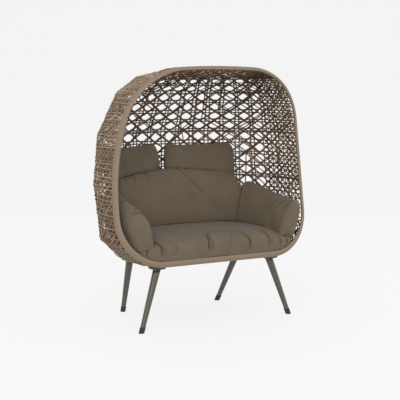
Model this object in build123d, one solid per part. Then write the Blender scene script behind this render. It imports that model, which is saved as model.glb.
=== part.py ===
from build123d import *
import os

import numpy as np

# Lengths are millimetres and turns are degrees. +X is the right of the chair as seen from its front,
# -Y is the front and Z is height above the floor.

# Mouth hoop: half of its front outline, from the middle of the bottom bar, in tangent runs
mouth_y = -250
mouth_bottom_height = 386.5
mouth_bottom_half = 374
mouth_foot_radius = 260
mouth_foot_turn = 88
mouth_side_radius = 2220
mouth_side_turn = 14.4
mouth_shoulder_radius = 381
mouth_shoulder_turn = 74.8

# Seen from the side the mouth hoop is bowed: its top and its bottom stand forward of its waist
bow_centre_height = 940
bow_reach = 555
bow_depth = 95
bow_lean_share = 0.015

# Section of the mouth hoop: a flat oval tube in a sleeve of flat strap, turned outwards all round
sleeve_width = 38
sleeve_thickness = 20
tube_width = 32
tube_thickness = 14
face_turn_side = 50
face_turn_top = 75
face_turn_bottom = 22
sleeve_seam = 0.6

# Shell: rods bent round the back of the mouth, from the base ring up to the roof
shell_half_width = 629
shell_depth = 618
shell_corner_power = 3
shell_flare_power = 8
hoop_names = ("base", "skirt", "hip", "waist", "shoulder", "crown", "roof")
hoop_height_shares = (-0.0185, 0.0167, 0.1023, 0.39, 0.647, 0.8643, 0.9445)
hoop_width_shares = (0.792, 0.863, 0.951, 1, 0.952, 0.808, 0.649)
hoop_depth_shares = (0.7, 0.83, 0.992, 0.96, 0.968, 0.79, 0.626)
roof_edge_share = 0.966
hoop_rod_diameter = 10
rib_rod_diameter = 8
base_tube_diameter = 20

# Weave: columns round the shell, rows up each bay between two rods, and four layers of half-round strand,
# flat inside and ridged outside
columns = 20
facet_columns = (0, 2, 3, 4, 5, 6, 7, 8, 10, 12, 13, 14, 15, 16, 17, 18, 20)
bay_rows = (1, 2, 4, 4, 4, 2, 5)
panel_columns = (0, 4, 8, 12, 16, 20)
panel_names = ("left_side", "left_corner", "back", "right_corner", "right_side")
band_bays = ((1, 2), (3,), (4,), (5, 6))
band_names = ("hip", "waist", "shoulder", "roof")
strand_width = 7
strand_thickness = 1.5
strand_gap = 0.6
rim_margin = 5
skirt_thickness = 4
skirt_start_share = 0.3
skirt_end_share = 0.894

# Seat base: side rails and cross rails under flat slats and a close-woven panel
rail_half_spacing = 385
rail_diameter = 20
slat_width = 30
slat_thickness = 3
slat_place_shares = (0.06, 0.2, 0.34, 0.48, 0.62, 0.76, 0.9)
seat_panel_thickness = 4
seat_panel_inset = 3

# Legs: tapered tubes splayed from bolted plates, with a cap on each foot
front_leg_setback = -34
back_leg_setback = 312
front_foot_spread = 122
front_foot_shift = -38
back_foot_spread = -44
back_foot_shift = 187
leg_top_diameter = 44
leg_foot_diameter = 27
leg_wall = 2
plate_size = 76
plate_thickness = 6
bolt_diameter = 8
bolt_head_width = 14
bolt_head_height = 5
bolt_spacing = 54
bolt_hole_clearance = 1
cap_height = 34
cap_wall = 2
cap_floor = 4

# Cushions: sizes of the filled covers and the places of their middles
seat_cushion_width = 1110
seat_cushion_depth = 610
seat_cushion_thickness = 172
seat_cushion_front = -362
back_cushion_width = 930
back_cushion_height = 360
back_cushion_thickness = 150
back_cushion_y = 180
back_cushion_foot = 535
back_cushion_lean = 10
back_cushion_bend = 75
arm_cushion_length = 500
arm_cushion_height = 330
arm_cushion_thickness = 130
arm_cushion_x = 514
arm_cushion_y = -75
arm_cushion_foot = 476
arm_cushion_lean = 30
arm_cushion_dip = 9
arm_facing = 90
arm_cushion_toe = -3
arm_cushion_bend = 35
head_cushion_width = 450
head_cushion_height = 250
head_cushion_thickness = 95
head_cushion_foot = 776
head_cushion_lean = 7
right_head_x = 190
right_head_y = 250
right_head_turn = -6
left_head_x = -318
left_head_y = 222
left_head_turn = 22
head_cushion_bend = 22
cushion_margin = 38

# Shares that draw a cushion in towards its ends: places along it, and the size of its section there
pillow_places_shares = (-1, -0.94, -0.8, -0.45, 0, 0.45, 0.8, 0.94, 1)
pillow_height_shares = (0.86, 0.96, 1, 0.98, 0.96, 0.98, 1, 0.96, 0.86)
back_height_shares = (0.56, 0.72, 0.84, 0.95, 1, 0.93, 0.84, 0.7, 0.52)
pillow_thickness_shares = (0.22, 0.5, 0.78, 0.96, 1, 0.96, 0.78, 0.5, 0.22)
seat_places_shares = (-1, -0.95, -0.82, -0.6, -0.3, 0, 0.3, 0.6, 0.82, 0.95, 1)
seat_front_shares = (0.2, 0.1, 0.035, 0.005, 0, 0.01, 0, 0.005, 0.035, 0.1, 0.2)
seat_back_shares = (0.66, 0.78, 0.9, 0.96, 0.985, 1, 0.985, 0.96, 0.9, 0.78, 0.66)
seat_top_shares = (0.36, 0.5, 0.7, 0.93, 0.98, 1, 0.98, 0.93, 0.7, 0.5, 0.36)
seat_bottom_shares = (0.24, 0.12, 0.02, 0, 0, 0, 0, 0, 0.02, 0.12, 0.24)
pillow_fullness = 2.4
cushion_sides = 14

# Running clearance between neighbouring pieces, how far out of a plane a flat facet may be, and the share of
# a column that reaches just past a facet's edge
seat_gap = 0.3
flatness = 0.0000001
edge_reach_share = 0.001

# Counts of flats on the bars and tubes and of steps along each run of the mouth hoop
sleeve_sides = 10
bar_sides = 6
rail_sides = 8
leg_sides = 14
bolt_sides = 6
hole_sides = 8
mouth_steps = (1, 6, 4, 8, 3)
fine_steps = (40, 60, 60, 80, 40)
curve_steps = 240


def unit(vector):
    """The same direction with a length of one."""
    return vector / np.linalg.norm(vector)


def polygon(points):
    return Wire.make_polygon([Vector(*point) for point in points], close=True)


def facets(points):
    """One flat face through these corners, or a fan of triangles where they don't lie in a plane."""
    centre = np.mean(points, axis=0)
    normal = np.linalg.svd(points - centre)[2][2]
    if np.abs((points - centre) @ normal).max() < flatness:
        return [Face(polygon(points))]
    pairs = zip(points[1:-1], points[2:])
    return [Face(polygon([points[0], near, far])) for near, far in pairs]


def skin(sections):
    """A solid with flat facets from section to section, each section an equal number of corners."""
    sections = np.array(sections)
    ahead = sections[1].mean(axis=0) - sections[0].mean(axis=0)
    winding = sum(np.cross(sections[0][i - 1], sections[0][i]) for i in range(len(sections[0])))
    if winding @ ahead < 0:
        sections = sections[:, ::-1]
    faces = facets(sections[0][::-1]) + facets(sections[-1])
    for low, high in zip(sections[:-1], sections[1:]):
        for i in range(len(low)):
            faces += facets(np.array([low[i - 1], low[i], high[i], high[i - 1]]))
    return Solid(Shell(faces))


def mouth_half(steps):
    """Half outline of the mouth hoop, as x, z and heading at each station from bottom to top."""
    x = [0.0]
    z = [mouth_bottom_height]
    turn = [0.0]
    for part in range(steps[0]):
        x.append(mouth_bottom_half * (part + 1) / steps[0])
        z.append(mouth_bottom_height)
        turn.append(0.0)
    runs = (
        (mouth_foot_radius, mouth_foot_turn, steps[1]),
        (mouth_side_radius, mouth_side_turn, steps[2]),
        (mouth_shoulder_radius, mouth_shoulder_turn, steps[3]),
    )
    for radius, degrees, count in runs:
        x, z, turn = add_arc(x, z, turn, radius, np.radians(degrees), count)
    last_turn = np.pi - turn[-1]
    return add_arc(x, z, turn, x[-1] / np.sin(last_turn), last_turn, steps[4])


def add_arc(x, z, turn, radius, angle, count):
    """Continues an outline with a tangent arc to the left."""
    centre_x = x[-1] - radius * np.sin(turn[-1])
    centre_z = z[-1] + radius * np.cos(turn[-1])
    turns = turn[-1] + angle * np.arange(1, count + 1) / count
    x = x + list(centre_x + radius * np.sin(turns))
    z = z + list(centre_z - radius * np.cos(turns))
    return x, z, turn + list(turns)


def mouth_frame(x, z, turn):
    """Centre, broad-face direction and thin direction of the hoop's section at each station."""
    x, z, turn = np.array(x), np.array(z), np.array(turn)
    rise = z - bow_centre_height
    y = mouth_y + bow_lean_share * rise - bow_depth * (rise / bow_reach) ** 2
    out_x, out_z = np.sin(turn), -np.cos(turn)
    tilt = face_turn_side + (face_turn_top - face_turn_side) * np.clip(out_z, 0, 1)
    tilt = tilt - (face_turn_side - face_turn_bottom) * np.clip(-out_z, 0, 1)
    tilt = np.radians(tilt)
    centre = np.stack([x, y, z], 1)
    broad = np.stack([np.cos(tilt) * out_x, np.sin(tilt), np.cos(tilt) * out_z], 1)
    thin = np.stack([np.sin(tilt) * out_x, -np.cos(tilt), np.sin(tilt) * out_z], 1)
    return centre, broad, thin


def mirrored(frame):
    """The other half of the hoop, as seen in a mirror across the middle plane."""
    return [array * np.array([-1, 1, 1]) for array in frame]


def oval(centre, broad, thin, width, thickness, sides):
    """Corners of an oval section, its width along the broad direction."""
    angles = 2 * np.pi * (np.arange(sides) + 0.5) / sides
    reach = np.outer(np.cos(angles), broad) * width / 2
    return centre + reach + np.outer(np.sin(angles), thin) * thickness / 2


def hoop_run(frame, first, last, width, thickness, sides, pull=0):
    """A length of the mouth hoop between two stations, its ends drawn in by a small pull."""
    centre, broad, thin = [array[first:last + 1].copy() for array in frame]
    centre[0] = centre[0] + pull * unit(centre[1] - centre[0])
    centre[-1] = centre[-1] + pull * unit(centre[-2] - centre[-1])
    return skin([oval(c, b, t, width, thickness, sides) for c, b, t in zip(centre, broad, thin)])


def mouth_edge(heights):
    """Where the weave starts at these heights: just off the back edge of the hoop's sleeve."""
    x, z, turn = mouth_half(fine_steps)
    start = fine_steps[0]
    where = np.interp(heights, z[start:], np.arange(start, len(z)))
    step = np.arange(len(z))
    centre, broad, thin = mouth_frame(*[np.interp(where, step, values) for values in (x, z, turn)])
    return centre + broad * (sleeve_width / 2 + rim_margin)


def spaced(points, places):
    """Points at these shares of the length of a polyline."""
    steps = np.linalg.norm(np.diff(points, axis=0), axis=1)
    along = np.concatenate([[0], np.cumsum(steps)]) / steps.sum()
    return np.stack([np.interp(places, along, points[:, axis]) for axis in range(3)], 1)


def hoop_curve(height, half_width, depth):
    """A rod of the shell from left to right: a rounded U that ends at the mouth hoop's back edge."""
    end = mouth_edge([max(height, mouth_bottom_height + sleeve_thickness / 2)])[0]
    angle = np.linspace(-np.pi / 2, np.pi / 2, curve_steps + 1)
    side = np.abs(np.sin(angle))
    back = np.cos(angle).clip(0) ** (2 / shell_corner_power)
    flare = side ** shell_flare_power
    x = np.sign(angle) * (half_width * side ** (2 / shell_corner_power) - (half_width - end[0]) * flare)
    y = end[1] + (mouth_y + depth - end[1]) * back
    z = height + (end[2] - height) * flare
    return np.stack([x, y, z], 1)


def roof_edge():
    """The last line of the weave, along the back edge of the hoop's top bar."""
    x, z, turn = mouth_half(fine_steps)
    low = shell_height(roof_edge_share)
    keep = [i for i in range(len(z)) if z[i] >= low and i > fine_steps[0]]
    frame = mouth_frame([x[i] for i in keep], [z[i] for i in keep], [turn[i] for i in keep])
    right = frame[0] + frame[1] * (sleeve_width / 2 + rim_margin)
    left = right * np.array([-1, 1, 1])
    return np.concatenate([left, right[::-1][1:]])


def shell_height(share):
    """Height at a share of the way from the hoop's bottom bar to its top."""
    top = mouth_half(mouth_steps)[1][-1]
    return mouth_bottom_height + share * (top - mouth_bottom_height)


def shell_grid():
    """Corner points of the shell's flat facets: one row of points for each rod and the roof edge."""
    places = np.array(facet_columns) / columns
    rows = []
    for height, width, depth in zip(hoop_height_shares, hoop_width_shares, hoop_depth_shares):
        curve = hoop_curve(shell_height(height), width * shell_half_width, depth * shell_depth)
        rows.append(spaced(curve, places))
    rows.append(spaced(roof_edge(), places))
    return np.array(rows)


row_starts = np.concatenate([[0], np.cumsum(bay_rows)])
grid = shell_grid()


def patch(column, row):
    """The facet that holds a place on the shell, with the shares across and up it."""
    facet = np.searchsorted(facet_columns, column, side="right") - 1
    facet = int(np.clip(facet, 0, len(facet_columns) - 2))
    bay = np.searchsorted(row_starts, row, side="right") - 1
    bay = int(np.clip(bay, 0, len(bay_rows) - 1))
    across = (column - facet_columns[facet]) / (facet_columns[facet + 1] - facet_columns[facet])
    up = (row - row_starts[bay]) / bay_rows[bay]
    corners = grid[bay:bay + 2, facet:facet + 2]
    return corners, across, up


def shell_point(column, row):
    """Point of the shell's facets at a place counted in columns and rows."""
    corners, across, up = patch(column, row)
    low = corners[0, 0] * (1 - across) + corners[0, 1] * across
    high = corners[1, 0] * (1 - across) + corners[1, 1] * across
    return low * (1 - up) + high * up


def facet_normal(column, row):
    """Outward direction of the facet that holds a place."""
    corners, across, up = patch(column, row)
    along = (corners[0, 1] - corners[0, 0]) * (1 - up) + (corners[1, 1] - corners[1, 0]) * up
    rise = (corners[1, 0] - corners[0, 0]) * (1 - across) + (corners[1, 1] - corners[0, 1]) * across
    return unit(np.cross(rise, along))


def shell_normal(column, row):
    """Outward direction at a place, shared by the facets that meet there and sized for a mitre."""
    nudge = edge_reach_share
    near = []
    for shift in ((-1, -1), (-1, 1), (1, -1), (1, 1)):
        near_column = np.clip(column + nudge * shift[0], nudge, columns - nudge)
        near_row = np.clip(row + nudge * shift[1], nudge, row_starts[-1] - nudge)
        near.append(facet_normal(near_column, near_row))
    mean = unit(np.sum(near, axis=0))
    return mean / np.mean([mean @ normal for normal in near])


def line_places(start, step):
    """Vertices of a straight line of the lattice: where it crosses facet edges and rods."""
    reach = []
    for edge in facet_columns:
        if step[0]:
            reach.append((edge - start[0]) / step[0])
    for edge in row_starts[1:]:
        if step[1]:
            reach.append((edge - start[1]) / step[1])
    places = []
    for amount in sorted(set(np.round(reach, 6))):
        place = (start[0] + amount * step[0], start[1] + amount * step[1])
        if 0 <= place[0] <= columns and row_starts[1] <= place[1] <= row_starts[-1]:
            places.append(place)
    return places


def strand_sections(places, layer):
    """Three-cornered sections of one strand at its vertices, lying on its own layer of the weave."""
    low = layer * (strand_thickness + strand_gap) + seat_gap
    centres = [shell_point(*place) for place in places]
    sections = []
    for i, place in enumerate(places):
        normal = shell_normal(*place)
        steps = np.diff(centres[max(i - 1, 0):i + 2], axis=0)
        along = sum(unit(step) for step in steps)
        half = unit(np.cross(normal, along)) * strand_width / 2
        inner = centres[i] + normal * low
        sections.append([inner - half, inner + normal * strand_thickness, inner + half])
    return sections


def panel_of(column, row):
    """Name of the woven panel that holds a place; the upright on a seam goes with the left panel."""
    bay = int(np.searchsorted(row_starts, row, side="right") - 1)
    band = next(name for name, bays in zip(band_names, band_bays) if bay in bays)
    side = int(np.searchsorted(panel_columns, column) - 1)
    return "weave_" + band + "_" + panel_names[side]


def weave_line(panels, places, layer):
    """Cuts one strand where it passes from panel to panel, and adds each length to its panel."""
    if len(places) < 2:
        return
    sections = strand_sections(places, layer)
    homes = []
    for here, there in zip(places[:-1], places[1:]):
        homes.append(panel_of((here[0] + there[0]) / 2, (here[1] + there[1]) / 2))
    first = 0
    for i in range(1, len(homes) + 1):
        if i == len(homes) or homes[i] != homes[first]:
            panels.setdefault(homes[first], []).append(skin(sections[first:i + 1]))
            first = i


def weave_panels():
    """Open cane weave: uprights inside, two crossing diagonals over them, and rounds outside."""
    panels = {}
    low, high = row_starts[1], row_starts[-1]
    for column in range(1, columns):
        weave_line(panels, line_places((column, 0), (0, 1)), 0)
    for start in range(-high, columns):
        weave_line(panels, line_places((start + 0.5, 0), (1, 1)), 1)
    for start in range(low, columns + high):
        weave_line(panels, line_places((start + 0.5, 0), (-1, 1)), 2)
    for row in range(low, high):
        if row not in row_starts:
            weave_line(panels, line_places((0, row), (1, 0)), 3)
    return panels


def hoop_rods(hoop_tool):
    """The bent rods behind the weave, each a rounded U from the left of the mouth to the right."""
    rods = {}
    for bay in range(1, len(hoop_names)):
        places = [(column, row_starts[bay]) for column in facet_columns]
        bent = rod(places, hoop_rod_diameter, hoop_rod_diameter / 2)
        rods["rod_" + hoop_names[bay]] = kept_middle(bent - hoop_tool)
    return rods


def ribs(hoop_tool):
    """Upright rods at the seams of the woven panels, inside the bent rods."""
    found = {}
    depth = hoop_rod_diameter + 2 * seat_gap + rib_rod_diameter / 2
    for column, name in zip(panel_columns[1:-1], ("left_side", "left_back", "right_back", "right_side")):
        places = [(column, row) for row in row_starts[1:]]
        found["rib_" + name] = kept_middle(rod(places, rib_rod_diameter, depth) - hoop_tool)
    return found


def rod(places, diameter, depth):
    """A round bar that follows places on the shell, its middle at this depth inside the weave."""
    normals = [shell_normal(*place) for place in places]
    centres = [shell_point(*place) - normal * depth for place, normal in zip(places, normals)]
    return bar(lengthened(centres), normals, diameter, bar_sides)


def lengthened(centres):
    """A line of centres with both ends run on into the mouth hoop, where they are coped off later."""
    centres[0] = centres[0] + sleeve_width / 2 * unit(centres[0] - centres[1])
    centres[-1] = centres[-1] + sleeve_width / 2 * unit(centres[-1] - centres[-2])
    return centres


def bar(centres, ups, diameter, sides):
    """A bar with this many flats, a corner on top, along a line of centres and mitred at each bend."""
    angles = np.pi / 2 + 2 * np.pi * np.arange(sides) / sides
    sections = []
    for i, up in enumerate(ups):
        steps = np.diff(centres[max(i - 1, 0):i + 2], axis=0)
        along = unit(sum(unit(step) for step in steps))
        side = unit(np.cross(up, along))
        lift = unit(np.cross(along, side))
        reach = np.outer(np.cos(angles), side) + np.outer(np.sin(angles), lift)
        sections.append(centres[i] + reach * diameter / 2)
    return skin(sections)


def base_ring():
    """Centres of the base tube: the lowest line of the shell, drawn in by half the tube."""
    rise = np.array([0, 0, base_tube_diameter / 2])
    centres = []
    for column in facet_columns:
        outward = shell_normal(column, 0) * np.array([1, 1, 0])
        centres.append(shell_point(column, 0) - unit(outward) * base_tube_diameter / 2 + rise)
    return np.array(lengthened(centres))


def skirt():
    """Closely wound band between the base tube and the lowest rod."""
    low, high = skirt_start_share * row_starts[1], skirt_end_share * row_starts[1]
    sections = []
    for column in facet_columns:
        corners = []
        for row, depth in ((low, 0), (high, 0), (high, skirt_thickness), (low, skirt_thickness)):
            corners.append(shell_point(column, row) + shell_normal(column, row) * (seat_gap + depth))
        sections.append(corners)
    return skin(sections)


def full_loop():
    """Sections of the whole mouth hoop, up the right side, down the left and once more to the right seam."""
    right = mouth_frame(*mouth_half(mouth_steps))
    left = [array[-2:0:-1] for array in mirrored(right)]
    return [np.concatenate([a, b, a]) for a, b in zip(right, left)]


def mouth_pieces():
    """The hoop's tube, and the three lengths of its binding with a fine seam between them."""
    loop = full_loop()
    top = sum(mouth_steps)
    count = 2 * top
    right_seam = mouth_steps[0] + mouth_steps[1] + mouth_steps[2] - 1
    left_seam = count - mouth_steps[0] - 1
    tube = hoop_run(loop, 0, top, tube_width, tube_thickness, bar_sides)
    tube = tube + hoop_run(loop, top, count, tube_width, tube_thickness, bar_sides)
    pieces = {"mouth_tube": tube}
    bore = (tube_width + 2 * seat_gap, tube_thickness + 2 * seat_gap, bar_sides)
    runs = (
        ("right_shoulder", right_seam, top),
        ("left", top, left_seam),
        ("lower", left_seam, count + right_seam),
    )
    for name, first, last in runs:
        outer = hoop_run(loop, first, last, sleeve_width, sleeve_thickness, sleeve_sides, sleeve_seam / 2)
        pieces["mouth_sleeve_" + name] = outer - hoop_run(loop, first, last, *bore, -sleeve_seam)
    return pieces


def whole_hoop_tool():
    """The whole mouth hoop grown by the clearance, to cut the ends of what meets it."""
    loop = full_loop()
    top = sum(mouth_steps)
    size = (sleeve_width + 2 * seat_gap, sleeve_thickness + 2 * seat_gap, sleeve_sides)
    return [hoop_run(loop, 0, top, *size), hoop_run(loop, top, 2 * top, *size)]


def rail(start, end):
    """A straight level tube of the seat base."""
    return bar(np.array([start, end]), [np.array([0, 0, 1])] * 2, rail_diameter, rail_sides)


def kept_middle(shape):
    """The largest piece of a bar or cushion after the rest is cut off."""
    return max(shape.solids(), key=lambda solid: solid.volume)


def hoop_back():
    """The hindmost line of the mouth hoop's bottom bar."""
    centre, broad, thin = [array[0] for array in mouth_frame(*mouth_half(mouth_steps))]
    return oval(centre, broad, thin, sleeve_width, sleeve_thickness, sleeve_sides)[:, 1].max()


def inside_ring(ring):
    """The space that the base tube goes round, to cut off what would pass under or over the tube."""
    flat = ring * np.array([1, 1, 0])
    base = Face(polygon(flat))
    return extrude(base, 2 * mouth_bottom_height, dir=(0, 0, 1))


def ring_half_width(ring, y):
    """Half width of the base ring at a place from front to back."""
    right = ring[ring[:, 0] >= 0][::-1]
    return np.interp(y, right[:, 1], right[:, 0])


def seat_frame(hoop_tool, ring_tool):
    """Rails, slats and the woven seat panel, all carried by the base tube and the mouth hoop."""
    ring = base_ring()
    level = ring[:, 2].min()
    front = ring[:, 1].min()
    back = ring[:, 1].max()
    pieces = {}
    for side, name in ((-1, "left"), (1, "right")):
        x = side * rail_half_spacing
        long_rail = rail((x, hoop_back() + seat_gap, level), (x, back, level))
        pieces["rail_" + name] = kept_middle((long_rail & inside_ring(ring)) - ring_tool)
    reach = rail_half_spacing - rail_diameter / 2 - seat_gap
    for setback, name in ((front_leg_setback, "front"), (back_leg_setback, "back")):
        y = mouth_y + setback
        cross = rail((-reach, y, level), (reach, y, level))
        pieces["cross_rail_" + name] = kept_middle(cross - ring_tool)
    top = level + rail_diameter / 2 + seat_gap
    slats = []
    for share in slat_place_shares:
        y = front + share * (back - front)
        narrow = min(ring_half_width(ring, y - slat_width / 2), ring_half_width(ring, y + slat_width / 2))
        slat = Pos(0, y, top + slat_thickness / 2) * Box(2 * narrow, slat_width, slat_thickness)
        slats.append(kept_middle(slat - hoop_tool - ring_tool))
    pieces["seat_slats"] = slats
    panel = seat_panel(ring, top + slat_thickness + seat_gap)
    pieces["seat_panel"] = kept_middle(panel - hoop_tool - ring_tool)
    return pieces


def seat_panel(ring, level):
    """Close-woven panel with the outline of the base, from the mouth hoop to the back of the ring."""
    reach = base_tube_diameter / 2 - seat_panel_inset
    outline = []
    for centre, column in zip(ring, facet_columns):
        outward = shell_normal(column, 0) * np.array([1, 1, 0])
        outline.append((centre + unit(outward) * reach) * np.array([1, 1, 0]) + np.array([0, 0, level]))
    return extrude(Face(polygon(outline)), seat_panel_thickness, dir=(0, 0, 1))


def leg_shape(foot, top, grow, low, high):
    """A tapered bar from the foot's middle to the top's middle, cut level at both ends."""
    start, end = np.array(foot), np.array(top)
    along = unit(end - start)
    side = unit(np.cross(along, (0, 1, 0)))
    angles = 2 * np.pi * np.arange(leg_sides) / leg_sides
    reach = np.outer(np.cos(angles), side) + np.outer(np.sin(angles), np.cross(side, along))
    small = start + reach * (leg_foot_diameter / 2 + grow)
    rise = end + reach * (leg_top_diameter / 2 + grow) - small
    return skin([small + rise * ((level - small[:, 2:]) / rise[:, 2:]) for level in (low, high)])


def leg(foot, top):
    """A hollow tapered leg that stands on the floor of its cap."""
    outer = leg_shape(foot, top, 0, cap_floor + seat_gap, top[2])
    return outer - leg_shape(foot, top, -leg_wall, 0, top[2])


def legs(under):
    """Four legs with their bolted plates, frame plates, bolts and foot caps."""
    pieces = {"frame_plates": [], "leg_bolts": []}
    corners = (
        ("front", front_leg_setback, front_foot_spread, front_foot_shift),
        ("back", back_leg_setback, back_foot_spread, back_foot_shift),
    )
    upper = under - seat_gap - plate_thickness / 2
    lower = upper - plate_thickness
    for end, setback, spread, shift in corners:
        for side, hand in ((-1, "left"), (1, "right")):
            x, y = side * rail_half_spacing, mouth_y + setback
            foot = (x + side * spread, y + shift, 0)
            top = (x, y, lower - plate_thickness / 2)
            pieces["frame_plates"].append(Pos(x, y, upper) * plate_blank())
            pieces["leg_" + end + "_" + hand] = leg(foot, top) + Pos(x, y, lower) * plate_blank()
            pieces["cap_" + end + "_" + hand] = foot_cap(foot, top)
            for place in (-bolt_spacing / 2, bolt_spacing / 2):
                pieces["leg_bolts"].append(bolt(x + place, y + place, top[2]))
    return pieces


def plate_blank():
    """Square plate with a bolt hole in two opposite corners, clear of the rails above."""
    plate = Box(plate_size, plate_size, plate_thickness)
    sketch = RegularPolygon(bolt_diameter / 2 + bolt_hole_clearance, hole_sides)
    hole = extrude(sketch, plate_thickness, both=True)
    for place in (-bolt_spacing / 2, bolt_spacing / 2):
        plate = plate - Pos(place, place, 0) * hole
    return plate


def bolt(x, y, seat):
    """Hexagon bolt with its head under the leg's plate, reaching through both plates."""
    head = extrude(RegularPolygon(bolt_head_width / 2, bolt_sides), -bolt_head_height)
    shank = extrude(RegularPolygon(bolt_diameter / 2, bolt_sides), 2 * plate_thickness)
    return Pos(x, y, seat) * (head + shank)


def foot_cap(foot, top):
    """A moulded cap over the end of a leg, flat where it stands on the floor."""
    outer = leg_shape(foot, top, cap_wall + seat_gap, 0, cap_height)
    return outer - leg_shape(foot, top, seat_gap, cap_floor, cap_height)


def oval_corners():
    """Corners of a full, nearly flat-sided oval of unit half width and half thickness."""
    angles = 2 * np.pi * (np.arange(cushion_sides) + 0.5) / cushion_sides
    across = np.sign(np.cos(angles)) * np.abs(np.cos(angles)) ** (2 / pillow_fullness)
    through = np.sign(np.sin(angles)) * np.abs(np.sin(angles)) ** (2 / pillow_fullness)
    return across, through


def held(points, margin):
    """Draws a cushion's corners in to the space inside the rods and ribs, where they press on it."""
    heights = shell_height(np.array(hoop_height_shares))
    width = np.interp(points[:, 2], heights, np.array(hoop_width_shares) * shell_half_width) - margin
    edge = mouth_edge(points[:, 2])[:, 1]
    depth = np.interp(points[:, 2], heights, np.array(hoop_depth_shares) * shell_depth)
    depth = mouth_y + depth - edge - margin
    behind = (points[:, 1] - edge).clip(0)
    reach = (np.abs(points[:, 0]) / width) ** shell_corner_power + (behind / depth) ** shell_corner_power
    reach = (reach ** (1 / shell_corner_power)).clip(1)
    y = np.where(behind > 0, edge + behind / reach, points[:, 1])
    return np.stack([points[:, 0] / reach, y, points[:, 2]], 1)


def pillow(frame, heights, length, height, thickness, bend, grow=0):
    """A filled cover in its own frame: length along the first axis, height along the second. Where its
    sections are lower than in the middle, they keep their foot on the level of the middle's foot."""
    across, through = oval_corners()
    origin, axes = frame
    margin = cushion_margin / 2 if grow else cushion_margin
    sections = []
    for place, high, thick in zip(pillow_places_shares, heights, pillow_thickness_shares):
        x = np.full(cushion_sides, place * (length / 2 + grow))
        y = across * (height / 2 * high + grow) - height / 2 * (1 - high)
        z = through * (thickness / 2 * thick + grow) + bend * place ** 2
        sections.append(held(origin + np.stack([x, y, z], 1) @ axes, margin))
    return skin(sections)


def seat_cushion(floor, grow=0):
    """The seat: flat below, crowned above, its front corners rising with the mouth hoop."""
    across, through = oval_corners()
    margin = cushion_margin / 2 if grow else cushion_margin
    sections = []
    shares = zip(seat_places_shares, seat_front_shares, seat_back_shares, seat_bottom_shares, seat_top_shares)
    for place, front, back, bottom, top in shares:
        x = np.full(cushion_sides, place * (seat_cushion_width / 2 + grow))
        near = seat_cushion_front + front * seat_cushion_depth - grow
        far = seat_cushion_front + back * seat_cushion_depth + grow
        low = floor + bottom * seat_cushion_thickness - grow
        high = floor + top * seat_cushion_thickness + grow
        y = (near + far) / 2 + across * (far - near) / 2
        z = (low + high) / 2 + through * (high - low) / 2
        sections.append(held(np.stack([x, y, z], 1), margin))
    return skin(sections)


def upright(x, y, foot, height, lean, turn, dip=0):
    """Frame of a cushion that stands on its long edge: facing the front, leaning back, turned about Z. A dip
    lowers the end that its first axis points to."""
    tilt, yaw = np.radians(lean), np.radians(turn)
    along = np.array([np.cos(yaw), np.sin(yaw), 0])
    face = np.array([np.cos(tilt) * np.sin(yaw), -np.cos(tilt) * np.cos(yaw), np.sin(tilt)])
    middle = np.array([x, y, foot + height / 2 * np.cos(tilt)])
    up = np.cross(face, along)
    slope = np.radians(dip)
    along, up = np.cos(slope) * along - np.sin(slope) * up, np.cos(slope) * up + np.sin(slope) * along
    return middle, np.stack([along, up, face])


def cushions(floor):
    """Six loose cushions, each shaped where it presses on the one below it."""
    seat_tool = seat_cushion(floor, seat_gap)
    back_size = (back_cushion_width, back_cushion_height, back_cushion_thickness, back_cushion_bend)
    back_frame = upright(0, back_cushion_y, back_cushion_foot, back_cushion_height, back_cushion_lean, 0)
    back_tool = pillow(back_frame, back_height_shares, *back_size, seat_gap)
    pieces = {"seat_cushion": seat_cushion(floor)}
    pieces["back_cushion"] = kept_middle(pillow(back_frame, back_height_shares, *back_size) - seat_tool)
    arm_size = (arm_cushion_length, arm_cushion_height, arm_cushion_thickness, arm_cushion_bend)
    for side, hand in ((-1, "left"), (1, "right")):
        place = (side * arm_cushion_x, arm_cushion_y, arm_cushion_foot, arm_cushion_height)
        turn = -side * (arm_facing + arm_cushion_toe)
        frame = upright(*place, arm_cushion_lean, turn, side * arm_cushion_dip)
        arm = pillow(frame, pillow_height_shares, *arm_size)
        pieces["arm_cushion_" + hand] = kept_middle(arm - seat_tool - back_tool)
    head_size = (head_cushion_width, head_cushion_height, head_cushion_thickness, head_cushion_bend)
    heads = (
        ("right", right_head_x, right_head_y, right_head_turn),
        ("left", left_head_x, left_head_y, left_head_turn),
    )
    for hand, x, y, turn in heads:
        frame = upright(x, y, head_cushion_foot, head_cushion_height, head_cushion_lean, turn)
        head = pillow(frame, pillow_height_shares, *head_size)
        pieces["headrest_" + hand] = kept_middle(head - back_tool)
    return pieces


def save(shape, name):
    """Writes a node's solid or solids to its own file."""
    solids = shape if isinstance(shape, list) else [shape]
    whole = Compound(children=solids) if len(solids) > 1 else solids[0]
    export_step(whole, "parts/" + name + ".step")


os.makedirs("parts", exist_ok=True)
base_level = base_ring()[:, 2].min()
hoop_tool = whole_hoop_tool()
level_ups = [np.array([0, 0, 1])] * len(facet_columns)
ring_tool = bar(base_ring(), level_ups, base_tube_diameter + 2 * seat_gap, bar_sides)
pieces = {"base_tube": kept_middle(bar(base_ring(), level_ups, base_tube_diameter, bar_sides) - hoop_tool)}
pieces.update(mouth_pieces())
pieces["skirt_band"] = skirt()
pieces.update(hoop_rods(hoop_tool))
pieces.update(ribs(hoop_tool))
pieces.update(seat_frame(hoop_tool, ring_tool))
pieces.update(legs(base_level - rail_diameter / 2))
seat_level = base_level + rail_diameter / 2 + 3 * seat_gap + slat_thickness + seat_panel_thickness
pieces.update(cushions(seat_level))
pieces.update(weave_panels())
for name in [band + side for band in ("weave_hip_", "weave_waist_") for side in ("left_side", "right_side")]:
    pieces[name] = [kept_middle(strand - hoop_tool) for strand in pieces[name]]
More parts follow.
